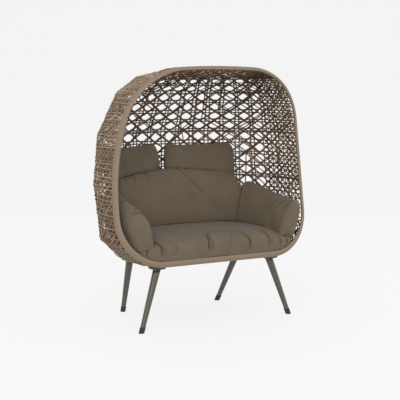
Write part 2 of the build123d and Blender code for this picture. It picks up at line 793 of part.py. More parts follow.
for name, shape in pieces.items():
    save(shape, name)
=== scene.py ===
import bpy
import numpy as np
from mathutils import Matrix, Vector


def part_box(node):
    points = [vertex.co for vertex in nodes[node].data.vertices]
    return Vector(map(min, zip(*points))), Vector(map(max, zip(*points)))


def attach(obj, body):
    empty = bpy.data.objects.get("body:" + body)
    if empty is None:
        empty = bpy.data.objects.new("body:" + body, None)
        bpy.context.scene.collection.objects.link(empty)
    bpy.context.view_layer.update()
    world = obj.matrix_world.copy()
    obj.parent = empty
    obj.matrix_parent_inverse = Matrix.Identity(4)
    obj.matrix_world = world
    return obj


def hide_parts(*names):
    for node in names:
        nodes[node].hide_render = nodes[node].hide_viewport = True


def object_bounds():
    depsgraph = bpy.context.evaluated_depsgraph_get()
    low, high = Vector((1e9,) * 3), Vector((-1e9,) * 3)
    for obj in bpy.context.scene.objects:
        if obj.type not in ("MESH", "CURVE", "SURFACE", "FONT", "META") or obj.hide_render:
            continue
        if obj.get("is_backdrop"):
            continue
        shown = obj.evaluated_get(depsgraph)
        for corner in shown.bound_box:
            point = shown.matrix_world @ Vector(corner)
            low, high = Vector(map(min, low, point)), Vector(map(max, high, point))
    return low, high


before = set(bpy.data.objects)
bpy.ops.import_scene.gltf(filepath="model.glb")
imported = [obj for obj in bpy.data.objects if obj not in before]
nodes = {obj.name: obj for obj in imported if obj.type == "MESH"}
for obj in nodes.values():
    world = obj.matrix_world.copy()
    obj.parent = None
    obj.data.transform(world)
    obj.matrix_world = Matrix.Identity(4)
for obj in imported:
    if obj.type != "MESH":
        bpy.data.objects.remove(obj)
cad_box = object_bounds()


# Mouth hoop: a flat oval steel tube bent in tangent arcs and bound with flat resin strap, wound tightly.
# Three lengths of binding meet at the middle of the top, above mid height on the right and at the lower left.
mouth_y = -0.250
hoop_mid_height, hoop_half_height = 0.940, 0.555
hoop_rake, hoop_bow = 0.015, 0.095
bar_height, bar_half_length = 0.3865, 0.374
foot_bend_radius = 0.260
hoop_bends = ((foot_bend_radius, 88), (2.220, 14.4), (0.381, 74.8))
side_turn, top_turn, bottom_turn = 50, 75, 22
sleeve_width, sleeve_thickness, sleeve_swell = 0.038, 0.020, 0.035
right_seam_height, left_seam_place = 1.053, 0.443


def add_arc(line, radius, degrees, step):
    """Continues a line of (x, z, heading) with a tangent arc to the left, in equal steps."""
    x, z, turn = line[-1]
    angle = np.radians(degrees)
    count = int(np.ceil(radius * angle / step))
    turns = turn + angle * np.arange(1, count + 1) / count
    across = x + radius * (np.sin(turns) - np.sin(turn))
    up = z - radius * (np.cos(turns) - np.cos(turn))
    return np.concatenate([line, np.stack([across, up, turns], 1)])


def half_hoop(step=0.004):
    """Right half of the hoop's outline from the middle of the bottom bar: a level bar, then four tangent
    arcs, the last of which comes level at the middle of the top."""
    bar = np.arange(0, bar_half_length, step)
    line = np.stack([bar, np.full(len(bar), bar_height), np.zeros(len(bar))], 1)
    line = np.concatenate([line, [[bar_half_length, bar_height, 0.0]]])
    for radius, degrees in hoop_bends:
        line = add_arc(line, radius, degrees, step)
    left_over = np.pi - line[-1, 2]
    return add_arc(line, line[-1, 0] / np.sin(left_over), np.degrees(left_over), step)


def hoop_frame(line):
    """Middle of the hoop with its broad and thin directions. The hoop bows back in the middle of its height
    by a parabola, and its broad face turns outwards, least along the bottom and most at the top."""
    x, z, turn = line.T
    rise = z - hoop_mid_height
    y = mouth_y + hoop_rake * rise - hoop_bow * (rise / hoop_half_height) ** 2
    out_x, out_z = np.sin(turn), -np.cos(turn)
    tilt = side_turn + (top_turn - side_turn) * np.clip(out_z, 0, 1)
    tilt = np.radians(tilt + (bottom_turn - side_turn) * np.clip(-out_z, 0, 1))
    middle = np.stack([x, y, z], 1)
    broad = np.stack([np.cos(tilt) * out_x, np.sin(tilt), np.cos(tilt) * out_z], 1)
    thin = np.stack([np.sin(tilt) * out_x, -np.cos(tilt), np.sin(tilt) * out_z], 1)
    return middle, broad, thin


def whole_hoop():
    """Both halves as one closed line, up the right side and down the left, which mirrors the right."""
    right = hoop_frame(half_hoop())
    mirror = np.array([-1.0, 1.0, 1.0])
    return [np.concatenate([part, part[-2:0:-1] * mirror]) for part in right]


def tube_mesh(name, rings, tones=None):
    """One mesh of closed tubes. rings is a list of arrays (stations, corners, 3), each a row of rings that
    are joined in order and closed by a face at both ends. The UV map holds the length along and the share
    round, and the attribute tone holds a number for each tube, or one for each corner of its rings."""
    corners, quads, ends, uvs, shades, start = [], [], [], [], [], 0
    for number, ring in enumerate(rings):
        count, sides = ring.shape[:2]
        corner = np.arange(count * sides).reshape(count, sides) + start
        here, there = corner[:-1], corner[1:]
        quad = np.stack([here, np.roll(here, -1, 1), np.roll(there, -1, 1), there], -1)
        quads.append(quad.reshape(-1, 4))
        ends += [corner[0][::-1].tolist(), corner[-1].tolist()]
        steps = np.linalg.norm(np.diff(ring.mean(1), axis=0), axis=1)
        length = np.concatenate([[0], np.cumsum(steps)])
        spot = np.stack(np.broadcast_arrays(length[:, None], np.arange(sides + 1) / sides), -1)
        spots = np.stack([spot[:-1, :-1], spot[:-1, 1:], spot[1:, 1:], spot[1:, :-1]], 2)
        uvs.append(spots.reshape(-1, 2))
        corners.append(ring.reshape(-1, 3))
        tone = 0.5 if tones is None else tones[number]
        shades.append(np.broadcast_to(tone, (count, sides)).ravel())
        start += count * sides
    corners, quads, uvs = np.concatenate(corners), np.concatenate(quads), np.concatenate(uvs)
    first, second, third, fourth = [corners[quads[:, place]] for place in range(4)]
    volume = np.sum(first * (np.cross(second, third) + np.cross(third, fourth)))
    if volume < 0:
        quads, ends = quads[:, ::-1], [end[::-1] for end in ends]
        uvs = uvs.reshape(-1, 4, 2)[:, ::-1].reshape(-1, 2)
    mesh = bpy.data.meshes.new(name)
    mesh.from_pydata(corners, [], quads.tolist() + ends)
    layer = mesh.uv_layers.new(name="UVMap")
    flat = np.zeros((len(mesh.loops), 2))
    flat[:len(uvs)] = uvs
    layer.data.foreach_set("uv", flat.ravel())
    attribute = mesh.attributes.new("tone", "FLOAT", "POINT")
    attribute.data.foreach_set("value", np.concatenate(shades))
    mesh.shade_smooth()
    piece = bpy.data.objects.new(name, mesh)
    bpy.context.collection.objects.link(piece)
    return piece


def oval_rings(middle, first, second, width, thickness, sides):
    """Rings of an oval whose width lies along the first direction and whose thickness along the second."""
    angle = 2 * np.pi * (np.arange(sides) + 0.5) / sides
    out = np.cos(angle)[None, :, None] * first[:, None] * width / 2
    return middle[:, None] + out + np.sin(angle)[None, :, None] * second[:, None] * thickness / 2


def new_material(name, colour, roughness, metallic=0.0):
    """A material with its own Principled shader: returns the material, its node tree and the shader."""
    material = bpy.data.materials.new(name)
    material.use_nodes = True
    tree = material.node_tree
    shader = tree.nodes["Principled BSDF"]
    shader.inputs["Base Color"].default_value = (*colour, 1)
    shader.inputs["Roughness"].default_value = roughness
    shader.inputs["Metallic"].default_value = metallic
    return material, tree, shader


def object_place(tree):
    """Place on the chair, in metres."""
    return tree.nodes.new("ShaderNodeTexCoord").outputs["Object"]


def uv_place(tree):
    """Place on the piece's own UV map: metres along it and share of the way round."""
    node = tree.nodes.new("ShaderNodeUVMap")
    node.uv_map = "UVMap"
    return node.outputs["UV"]


def maths(tree, operation, *values):
    """One step of arithmetic on numbers and on other nodes' outputs."""
    node = tree.nodes.new("ShaderNodeMath")
    node.operation = operation
    for socket, value in zip(node.inputs, values):
        if isinstance(value, bpy.types.NodeSocket):
            tree.links.new(value, socket)
        else:
            socket.default_value = value
    return node.outputs[0]


def smooth_step(tree, value, start, end):
    """A smooth step from 0 where the value is at the start to 1 where it is at the end."""
    node = tree.nodes.new("ShaderNodeMapRange")
    node.interpolation_type = "SMOOTHSTEP"
    node.inputs["From Min"].default_value = start
    node.inputs["From Max"].default_value = end
    tree.links.new(value, node.inputs["Value"])
    return node.outputs["Result"]


def noise(tree, scale, detail=2):
    """Noise that runs through the whole chair."""
    node = tree.nodes.new("ShaderNodeTexNoise")
    node.inputs["Scale"].default_value = scale
    node.inputs["Detail"].default_value = detail
    tree.links.new(object_place(tree), node.inputs["Vector"])
    return node.outputs["Fac"]


def tinted(tree, shader, share, *stops):
    """Colours the surface by a share, from a ramp of places between 0 and 1 with their colours."""
    ramp = tree.nodes.new("ShaderNodeValToRGB")
    elements = ramp.color_ramp.elements
    elements[0].position, elements[1].position = stops[0][0], stops[-1][0]
    for place, colour in stops[1:-1]:
        elements.new(place)
    for element, (place, colour) in zip(elements, stops):
        element.color = (*colour, 1)
    tree.links.new(share, ramp.inputs["Fac"])
    tree.links.new(ramp.outputs["Color"], shader.inputs["Base Color"])


def bump(tree, shader, height, distance, strength=1.0):
    """Lets a height drive the shader's normal."""
    node = tree.nodes.new("ShaderNodeBump")
    node.inputs["Strength"].default_value = strength
    node.inputs["Distance"].default_value = distance
    tree.links.new(height, node.inputs["Height"])
    tree.links.new(node.outputs["Normal"], shader.inputs["Normal"])


def wound_strap(name, dark, light, turn_length, depth):
    """Strap wound round a bar: a saw of slanting turns along the UV's length, whose two edges are rounded off
    and painted darker as shade in the grooves between turns, each turn a little lighter or darker than the
    next."""
    edge = 0.16
    material, tree, shader = new_material(name, light, 0.55)
    parts = tree.nodes.new("ShaderNodeSeparateXYZ")
    tree.links.new(uv_place(tree), parts.inputs[0])
    slant = maths(tree, "MULTIPLY_ADD", parts.outputs["X"], 1 / turn_length, parts.outputs["Y"])
    wobble = tree.nodes.new("ShaderNodeTexNoise")
    wobble.noise_dimensions = "1D"
    wobble.inputs["Scale"].default_value = 0.9
    tree.links.new(slant, wobble.inputs["W"])
    turn = maths(tree, "FRACT", slant)
    near_edge, far_edge = smooth_step(tree, turn, 0.0, edge), smooth_step(tree, turn, 1.0, 1 - edge)
    ridge = maths(tree, "MULTIPLY", near_edge, far_edge)
    # Painted shade: the colour darkens towards both edges of each turn, in the grooves between turns.
    shade = maths(tree, "MULTIPLY_ADD", ridge, 0.45, wobble.outputs["Fac"])
    tinted(tree, shader, shade, (0.35, dark), (1.0, light))
    bump(tree, shader, ridge, depth)
    return material


def grained(name, colour, roughness, metallic, grain_scale, grain_depth, strength):
    """A coated, plated or moulded finish with a fine grain."""
    material, tree, shader = new_material(name, colour, roughness, metallic)
    bump(tree, shader, noise(tree, grain_scale), grain_depth, strength)
    return material


binding = wound_strap(
    "hoop_binding", dark=(0.138, 0.096, 0.060), light=(0.198, 0.142, 0.092), turn_length=0.0105, depth=0.0003,
)
# The right seam is looked for on the side, above the foot bend, and the left one along the foot bend.
loop = whole_hoop()
stations = len(loop[0])
top_station = int(np.argmax(loop[0][:stations // 2 + 5, 2]))
right_half = loop[0][:top_station]
from_right_seam = np.abs(right_half[:, 2] - right_seam_height) + (right_half[:, 0] < 0.2)
from_left_seam = np.abs(right_half[:, 0] - left_seam_place) + (right_half[:, 2] > 0.6)
right_seam, left_seam = int(np.argmin(from_right_seam)), int(stations - np.argmin(from_left_seam))
for name, first, last in (
    ("right_shoulder", right_seam, top_station),
    ("left", top_station, left_seam),
    ("lower", left_seam, stations + right_seam),
):
    picked = [np.take(part, np.arange(first, last + 1), axis=0, mode="wrap") for part in loop]
    rings = oval_rings(*picked, sleeve_width, sleeve_thickness, 28)
    from_end = np.minimum(np.arange(len(rings)), np.arange(len(rings))[::-1])
    swell = 1 + sleeve_swell * np.clip(1 - np.abs(from_end - 2) / 2, 0, 1)
    rings = picked[0][:, None] + (rings - picked[0][:, None]) * swell[:, None, None]
    sleeve = tube_mesh("binding_" + name, [rings])
    sleeve.data.materials.append(binding)
    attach(sleeve, "root")
    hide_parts("mouth_sleeve_" + name)
steel = grained(
    "frame_steel", (0.070, 0.052, 0.038), roughness=0.5, metallic=0.3,
    grain_scale=900, grain_depth=0.0002, strength=0.4,
)


def finish_node(name, material):
    """Gives a CAD solid that is kept its finish in place of the plain one."""
    nodes[name].data.materials.clear()
    nodes[name].data.materials.append(material)


finish_node("mouth_tube", steel)


# Shell rods: six round steel rods bent to a U behind the hoop, four upright ribs and the base tube under
# them, all welded to the hoop. The weave is stretched over them, so each rod shows as a knee in the shell.
columns = 20
bay_rows = np.array([1, 2, 4, 4, 4, 2, 5])
row_starts = np.concatenate([[0], np.cumsum(bay_rows)])
shell_half_width, shell_depth = 0.629, 0.618
height_shares = np.array([-0.0185, 0.0167, 0.1023, 0.39, 0.647, 0.8643, 0.9445])
width_shares = np.array([0.792, 0.863, 0.951, 1, 0.952, 0.808, 0.649])
depth_shares = np.array([0.7, 0.83, 0.992, 0.96, 0.968, 0.79, 0.626])
roof_share = 0.966
binding_cover, rod_end_rise = 0.003, 0.010
edge_reach = sleeve_width / 2 - binding_cover
rod_diameter, rod_inset = 0.0070, 0.005
rib_diameter, rib_inset = 0.0065, 0.0146
base_diameter, base_inset = 0.020, 0.010
half_outline = half_hoop(0.002)
hoop_height = half_outline[-1, 1] - bar_height
rod_heights = bar_height + height_shares * hoop_height
rod_half_widths = shell_half_width * width_shares
rod_depths = shell_depth * depth_shares


def mouth_edge(heights):
    """Back edge of the hoop at these heights, just inside its binding, where rods and canes end."""
    side = half_outline[half_outline[:, 1] > bar_height + 0.0001]
    line = np.stack([np.interp(heights, side[:, 1], side[:, part]) for part in range(3)], 1)
    middle, broad = hoop_frame(line)[:2]
    return middle + broad * edge_reach


def spaced(points, places):
    """Points at these shares of the length of a line."""
    steps = np.linalg.norm(np.diff(points, axis=0), axis=1)
    along = np.concatenate([[0], np.cumsum(steps)]) / steps.sum()
    return np.stack([np.interp(places, along, points[:, axis]) for axis in range(3)], 1)


def rod_line(height, half_width, depth, places):
    """A rod as half a superellipse of power 3 behind the mouth, its ends flared in to the hoop's edge."""
    end = mouth_edge(np.array([max(height, bar_height + rod_end_rise)]))[0]
    angle = np.linspace(-np.pi / 2, np.pi / 2, 481)
    side = np.abs(np.sin(angle))
    flare = side ** 8
    x = np.sign(angle) * (half_width * side ** (2 / 3) - (half_width - end[0]) * flare)
    y = end[1] + (mouth_y + depth - end[1]) * np.cos(angle).clip(0) ** (2 / 3)
    z = height + (end[2] - height) * flare
    return spaced(np.stack([x, y, z], 1), places)


share = np.linspace(0, 1, 401)
shell_lines = [rod_line(*sizes, share) for sizes in zip(rod_heights, rod_half_widths, rod_depths)]
roof = half_outline[half_outline[:, 1] >= bar_height + roof_share * hoop_height]
roof_middle, roof_broad = hoop_frame(roof)[:2]
roof_right = roof_middle + roof_broad * edge_reach
roof_line = np.concatenate([roof_right * np.array([-1, 1, 1]), roof_right[::-1][1:]])
shell_lines = np.array(shell_lines + [spaced(roof_line, share)])


def shell_point(u, v):
    """Place on the shell: u counts columns along the rods, v counts rows up, straight between two rods."""
    bay = np.clip(np.searchsorted(row_starts, v, side="right") - 1, 0, len(bay_rows) - 1)
    up = (v - row_starts[bay]) / bay_rows[bay]
    where = np.clip(u / columns, 0, 1) * (len(share) - 1)
    cell = np.clip(where.astype(int), 0, len(share) - 2)
    across = (where - cell)[..., None]
    low = shell_lines[bay, cell] * (1 - across) + shell_lines[bay, cell + 1] * across
    high = shell_lines[bay + 1, cell] * (1 - across) + shell_lines[bay + 1, cell + 1] * across
    return low * (1 - up[..., None]) + high * up[..., None]


def shell_normal(u, v, u_step=0.3, v_step=0.35):
    """Outward direction, taken from small steps both ways so that it turns smoothly over each rod."""
    left, right = np.clip(u - u_step, 0, columns), np.clip(u + u_step, 0, columns)
    low, high = np.clip(v - v_step, 0, row_starts[-1]), np.clip(v + v_step, 0, row_starts[-1])
    out = np.cross(shell_point(u, high) - shell_point(u, low), shell_point(right, v) - shell_point(left, v))
    return out / np.linalg.norm(out, axis=-1, keepdims=True)


def line_frame(points, out):
    """Side and lift directions of a line of points that is to face outwards."""
    ahead = np.gradient(points, axis=0)
    side = np.cross(out, ahead)
    side /= np.linalg.norm(side, axis=1, keepdims=True)
    lift = np.cross(ahead, side)
    return side, lift / np.linalg.norm(lift, axis=1, keepdims=True)


def round_bar(u, v, inset, diameter, sides):
    """Rings of a round bar that follows the shell along (u, v), its middle this far inside the surface."""
    out = shell_normal(u, v)
    middle = shell_point(u, v) - out * inset
    return oval_rings(middle, *line_frame(middle, out), diameter, diameter, sides)


bound_rod = wound_strap(
    "bound_rod", dark=(0.050, 0.034, 0.021), light=(0.150, 0.100, 0.060), turn_length=0.0075, depth=0.0008,
)
around = np.linspace(0, columns, 241)
for bay, name in enumerate(("skirt", "hip", "waist", "shoulder", "crown", "roof"), start=1):
    row = np.full(len(around), float(row_starts[bay]))
    rod = tube_mesh("bent_rod_" + name, [round_bar(around, row, rod_inset, rod_diameter, 12)])
    rod.data.materials.append(bound_rod)
    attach(rod, "root")
    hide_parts("rod_" + name)
rib_rows = np.linspace(1, row_starts[-1], 121)
for column, name in zip((4, 8, 12, 16), ("left_side", "left_back", "right_back", "right_side")):
    column = np.full(len(rib_rows), float(column))
    rib = tube_mesh("upright_rib_" + name, [round_bar(column, rib_rows, rib_inset, rib_diameter, 10)])
    rib.data.materials.append(bound_rod)
    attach(rib, "root")
    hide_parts("rib_" + name)
foot_row = np.zeros(len(around))
base_out = shell_normal(around, foot_row) * np.array([1, 1, 0])
base_out /= np.linalg.norm(base_out, axis=1, keepdims=True)
base_middle = shell_point(around, foot_row) - base_out * base_inset + np.array([0, 0, base_diameter / 2])
base_rings = oval_rings(base_middle, *line_frame(base_middle, base_out), base_diameter, base_diameter, 16)
base = tube_mesh("base_ring", [base_rings])
base.data.materials.append(bound_rod)
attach(base, "root")
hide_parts("base_tube")


# Open weave: half-round resin canes, flat on the inside and tied where they cross. Upright pairs lie inside,
# two slanting pairs over them and level pairs outside, which leaves an eight-sided hole in each cell. Single
# canes run between them, most of all beside the mouth, where the weave is closer.
rng = np.random.default_rng(7)
cane_width, cane_thickness = 0.0076, 0.0032
cane_profile = np.array([[-1, 0], [1, 0], [0.86, 0.62], [0.40, 1], [-0.40, 1], [-0.86, 0.62]])
upright_level, rising_level, falling_level, round_level = 0.0016, 0.0044, 0.0068, 0.0098
single_upright_level, single_round_level = 0.0030, 0.0094
upright_swing, round_swing, slanting_swing = 0.0008, 0.0012, 0.0010
close_cane_lift, stray_cane_lift = 0.0006, 0.0012
tied_stretch = 0.6
pair_place, slanting_pair_place, tail = 0.125, 0.045, 0.13
lowest, highest = 0.15, float(row_starts[-1])
rows = int(highest)


def cane(u, v, level, width=cane_width):
    """A cane along (u, v) at this level over the shell: its half-round profile carried along the line. The
    canes come down on each other where they are tied to the hoop."""
    out = shell_normal(u, v)
    from_hoop = np.minimum(np.minimum(u, columns - u), row_starts[-1] - v)
    middle = shell_point(u, v) + out * (level * np.clip(from_hoop / tied_stretch, 0.1, 1))[:, None]
    side, lift = line_frame(middle, out)
    profile = cane_profile * np.array([width / 2, cane_thickness])
    return middle[:, None] + profile[None, :, :1] * side[:, None] + profile[None, :, 1:] * lift[:, None]


def wander(places, reach):
    """Slow sideways drift of a hand-woven cane: three sines with random phases."""
    drift = np.zeros(len(places))
    for wave in (0.35, 0.8, 1.7):
        drift += np.sin(wave * places + rng.uniform(0, 2 * np.pi)) * rng.uniform(0.3, 1.0)
    return drift * reach / 1.6


def short_run(first_row, longest):
    """Row places of a single cane from one level pair to another, below the roof, with a tail at each end."""
    first = rng.integers(first_row, rows - 5) - tail
    last = min(first + rng.integers(3, longest), rows - 4) + 2 * tail
    return np.linspace(first, last, 40)


uprights, rounds, rising, falling = [], [], [], []
for column in range(1, columns):
    for place in (-pair_place, pair_place):
        v = np.arange(lowest, highest + 0.01, 0.25)
        v = np.minimum(np.append(v, highest), highest)
        u = column + place * rng.uniform(0.8, 1.2) + wander(v, 0.05)
        uprights.append(cane(u, v, upright_level + upright_swing * np.cos(np.pi * (v + column))))
for row in range(1, rows):
    for place in (-pair_place, pair_place):
        u = np.linspace(0, columns, 121)
        v = row + place * rng.uniform(0.8, 1.2) + wander(u, 0.05)
        rounds.append(cane(u, v, round_level - round_swing * np.cos(np.pi * (row + u))))
for stray in range(26):
    v = short_run(1, 9)
    u = rng.uniform(0.5, columns - 0.5) + wander(v, 0.10) + rng.uniform(-0.06, 0.06) * (v - v[0])
    uprights.append(cane(np.clip(u, 0, columns), v, single_upright_level))
for place in (0.5, 1.5, 2.5, columns - 2.5, columns - 1.5, columns - 0.5):
    v = np.linspace(lowest, highest - rng.uniform(0, 2.5), 90)
    uprights.append(cane(place + wander(v, 0.04), v, single_upright_level))
for row in range(1, rows - 3):
    for start, end in ((0, rng.integers(2, 4) + tail), (columns - rng.integers(2, 4) - tail, columns)):
        u = np.linspace(start, end, 30)
        rounds.append(cane(u, row + 0.5 + wander(u, 0.04), single_round_level))
upwards = np.arange(lowest, highest + 0.01, 0.2)
slant_starts = range(-rows - 1, columns + rows + 1)
for lean, canes, level in ((1, rising, rising_level), (-1, falling, falling_level)):
    for start in slant_starts:
        u = start + rng.uniform(-0.05, 0.05) + lean * upwards
        reach = rng.integers(3, 5) + tail
        for inside in ((u > 0) & (u < reach), (u > columns - reach) & (u < columns)):
            if inside.sum() > 3:
                v = upwards[inside]
                u_inside = np.clip(u[inside] + wander(v, 0.04), 0, columns)
                canes.append(cane(u_inside, v, level + close_cane_lift))
    for stray in range(24):
        v = short_run(1 if stray < 12 else rows - 9, 7)
        u = rng.uniform(1, columns - 1) + lean * rng.uniform(0.7, 1.2) * (v - v[0]) + wander(v, 0.08)
        inside = (u > 0) & (u < columns)
        if inside.sum() > 3:
            canes.append(cane(u[inside], v[inside], level + stray_cane_lift))
    for start in slant_starts:
        for place in (-slanting_pair_place, slanting_pair_place):
            u = start + 0.5 + place + lean * upwards
            inside = (u > 0) & (u < columns)
            if inside.sum() >= 3:
                v = upwards[inside]
                u = np.clip(u[inside] + wander(v, 0.07), 0, columns)
                canes.append(cane(u, v, level + slanting_swing * np.cos(2 * np.pi * u)))


def bands(tree, place, direction, scale, distortion=0.0):
    """Soft bands across one direction of a place."""
    node = tree.nodes.new("ShaderNodeTexWave")
    node.wave_type = "BANDS"
    node.bands_direction = direction
    node.inputs["Scale"].default_value = scale
    node.inputs["Distortion"].default_value = distortion
    tree.links.new(place, node.inputs["Vector"])
    return node.outputs["Fac"]


weave, weave_tree, weave_shader = new_material("cane_resin", (0.2, 0.15, 0.1), 0.5)
tone = weave_tree.nodes.new("ShaderNodeAttribute")
tone.attribute_name = "tone"
streaked = maths(weave_tree, "MULTIPLY_ADD", noise(weave_tree, 22, detail=3), 0.45, tone.outputs["Fac"])
tinted(
    weave_tree, weave_shader, streaked,
    (0.15, (0.052, 0.029, 0.010)), (0.62, (0.174, 0.100, 0.043)), (1.0, (0.38, 0.295, 0.20)),
)
ribbing = bands(weave_tree, uv_place(weave_tree), "Y", scale=1.4)
bump(weave_tree, weave_shader, ribbing, 0.0003, strength=0.6)
# Painted light and shade: the rounded outer face of every cane is painted lighter than its flat inner face.
outer_face_painted_light = np.array([0, 0, 0, 0.27, 0.27, 0])
weave_node_names = [name for name in nodes if name.startswith("weave_")]
for name, canes, darkest, lightest in (
    ("uprights", uprights, -0.06, 0.42), ("rounds", rounds, 0.04, 0.40),
    ("rising", rising, -0.04, 0.44), ("falling", falling, 0.00, 0.52),
):
    cane_tones = rng.uniform(darkest, lightest, len(canes))[:, None] + outer_face_painted_light
    layer = tube_mesh("cane_" + name, canes, cane_tones)
    layer.data.materials.append(weave)
    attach(layer, "root")
    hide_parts(*weave_node_names)


# Skirt: canes wound side by side from the base tube up to the lowest rod, which closes the shell at the
# foot. They are the same resin as the weave, and a little narrower.
skirt_cane_width, skirt_level, skirt_pitch = 0.0074, 0.0010, 0.085
skirt_rows = np.linspace(0.02, 0.98, 6)
skirt_canes = []
for place in np.arange(0.06, columns - 0.03, skirt_pitch):
    u = np.full(len(skirt_rows), place) + rng.uniform(-0.008, 0.008)
    skirt_canes.append(cane(u, skirt_rows, skirt_level, skirt_cane_width))
skirt = tube_mesh("skirt_winding", skirt_canes, rng.uniform(0.1, 0.5, len(skirt_canes)))
skirt.data.materials.append(weave)
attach(skirt, "root")
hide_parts("skirt_band")


# Seat base: side rails, cross rails and flat slats of steel, welded to the frame, and over them a panel of
# close-woven resin canes that carries the seat cushion. Their CAD solids are kept.
for name in ("rail_left", "rail_right", "cross_rail_front", "cross_rail_back", "seat_slats"):
    finish_node(name, steel)
panel, panel_tree, panel_shader = new_material("seat_weave", (0.06, 0.045, 0.033), 0.6)
checks = panel_tree.nodes.new("ShaderNodeTexChecker")
checks.inputs["Scale"].default_value = 110
checks.inputs["Color1"].default_value = (0.085, 0.063, 0.045, 1)
checks.inputs["Color2"].default_value = (0.045, 0.033, 0.024, 1)
panel_tree.links.new(object_place(panel_tree), checks.inputs["Vector"])
panel_tree.links.new(checks.outputs["Color"], panel_shader.inputs["Base Color"])
bump(panel_tree, panel_shader, checks.outputs["Fac"], 0.0008, strength=0.8)
finish_node("seat_panel", panel)


# Legs: tapered steel tubes with bronze paint, cut level and welded under square plates that bolt to plates
# on the rails, with a moulded black cap on each foot.
leg_half_spacing, foot_radius, top_radius = 0.385, 0.0135, 0.022
plate_size, plate_thickness, plate_bevel = 0.076, 0.0058, 0.001
plate_room, plate_gap = 0.006, 0.0001
cap_wall, cap_floor = 0.0023, 0.0043
cap_heights = np.array([0.0, 0.0, 0.0015, 0.031, 0.0335, 0.034, 0.034])
cap_draws = np.array([-0.0030, -0.0012, 0.0, 0.0, -0.0004, -0.0014, -0.0022])
bronze = grained(
    "leg_bronze", (0.092, 0.081, 0.066), roughness=0.38, metallic=0.5,
    grain_scale=1400, grain_depth=0.00015, strength=0.35,
)
rubber = grained(
    "foot_rubber", (0.012, 0.012, 0.012), roughness=0.65, metallic=0.0,
    grain_scale=1100, grain_depth=0.0002, strength=0.4,
)
zinc = grained(
    "bolt_zinc", (0.16, 0.155, 0.15), roughness=0.4, metallic=0.9,
    grain_scale=700, grain_depth=0.0001, strength=0.4,
)
finish_node("frame_plates", steel)
finish_node("leg_bolts", zinc)
plate_top = float(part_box("frame_plates")[0][2])


def level_cut_bar(foot, top, wall, heights):
    """Rings of a tapered round bar from foot to top, each cut level at its height. They stand a wall's
    thickness outside the leg: none for the leg itself."""
    foot, top = np.array(foot), np.array(top)
    along = (top - foot) / np.linalg.norm(top - foot)
    side = np.cross(along, (0.0, 1.0, 0.0))
    side /= np.linalg.norm(side)
    angle = 2 * np.pi * np.arange(40) / 40
    reach = np.outer(np.cos(angle), side) + np.outer(np.sin(angle), np.cross(side, along))
    small = foot + reach * (foot_radius + wall)
    rise = top + reach * (top_radius + wall) - small
    share = (heights[:, None] - small[None, :, 2]) / rise[None, :, 2]
    return small[None] + rise[None] * share[..., None]


def square_plate(middle):
    """A square plate with rounded corners: rings of a rounded square, drawn in at both faces."""
    angle = 2 * np.pi * (np.arange(48) + 0.5) / 48
    square = np.stack([np.cos(angle), np.sin(angle)], 1)
    square = np.sign(square) * np.abs(square) ** 0.22 * plate_size / 2
    low, high = plate_bevel, plate_thickness - plate_bevel
    rings = []
    for height, inset in ((0, plate_bevel), (low, 0), (high, 0), (plate_thickness, plate_bevel)):
        ring = square * (1 - 2 * inset / plate_size)
        rings.append(np.column_stack([ring + middle[:2], np.full(48, middle[2] + height)]))
    return np.array(rings)


for end, setback, spread, shift in (("front", -0.034, 0.122, -0.038), ("back", 0.312, -0.044, 0.187)):
    for side, hand in ((-1, "left"), (1, "right")):
        top = (side * leg_half_spacing, mouth_y + setback, plate_top - plate_room)
        foot = (top[0] + side * spread, top[1] + shift, 0.0)
        shaft = level_cut_bar(foot, top, 0.0, np.linspace(cap_floor, top[2], 12))
        weld_plate = square_plate(np.array(top) + (0, 0, plate_gap))
        leg = tube_mesh("tapered_leg_" + end + "_" + hand, [shaft, weld_plate])
        leg.data.materials.append(bronze)
        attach(leg, "root")
        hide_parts("leg_" + end + "_" + hand)
        rings = level_cut_bar(foot, top, cap_wall, cap_heights)
        middle = rings.mean(axis=1, keepdims=True)
        rings = middle + (rings - middle) * (1 + cap_draws[:, None, None] / (foot_radius + cap_wall))
        cap = tube_mesh("moulded_cap_" + end + "_" + hand, [rings])
        cap.data.materials.append(rubber)
        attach(cap, "root")
        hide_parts("cap_" + end + "_" + hand)


# Cushions: taupe canvas covers over soft filling, sewn with a plain seam round the edge that puckers. The
# back stands on the seat, the arms lean out against the shell, and two thin head cushions lie above the back.
canvas, canvas_tree, canvas_shader = new_material("taupe_canvas", (0.105, 0.080, 0.055), 0.92)
canvas_shader.inputs["Sheen Weight"].default_value = 0.06
canvas_shader.inputs["Sheen Roughness"].default_value = 0.6
mottle = noise(canvas_tree, 9, detail=4)
tinted(canvas_tree, canvas_shader, mottle, (0.3, (0.099, 0.075, 0.047)), (0.7, (0.117, 0.090, 0.057)))
cloth_place = object_place(canvas_tree)
threads = [bands(canvas_tree, cloth_place, way, scale=260, distortion=0.6) for way in ("X", "Z")]
bump(canvas_tree, canvas_shader, maths(canvas_tree, "ADD", *threads), 0.0004, strength=0.5)


def held(points, margin=0.022):
    """Draws points in to the space inside the rods, where the cushion presses on them: towards the middle of
    the mouth until they lie in a superellipse of power 3."""
    width = np.interp(points[..., 2], rod_heights, rod_half_widths) - margin
    depth = np.interp(points[..., 2], rod_heights, rod_depths)
    edge = mouth_edge(points[..., 2].ravel())[:, 1].reshape(points.shape[:-1])
    depth = mouth_y + depth - edge - margin
    behind = (points[..., 1] - edge).clip(0)
    reach = ((np.abs(points[..., 0]) / width) ** 3 + (behind / depth) ** 3) ** (1 / 3)
    reach = reach.clip(1)
    y = np.where(behind > 0, edge + behind / reach, points[..., 1])
    return np.stack([points[..., 0] / reach, y, points[..., 2]], -1)


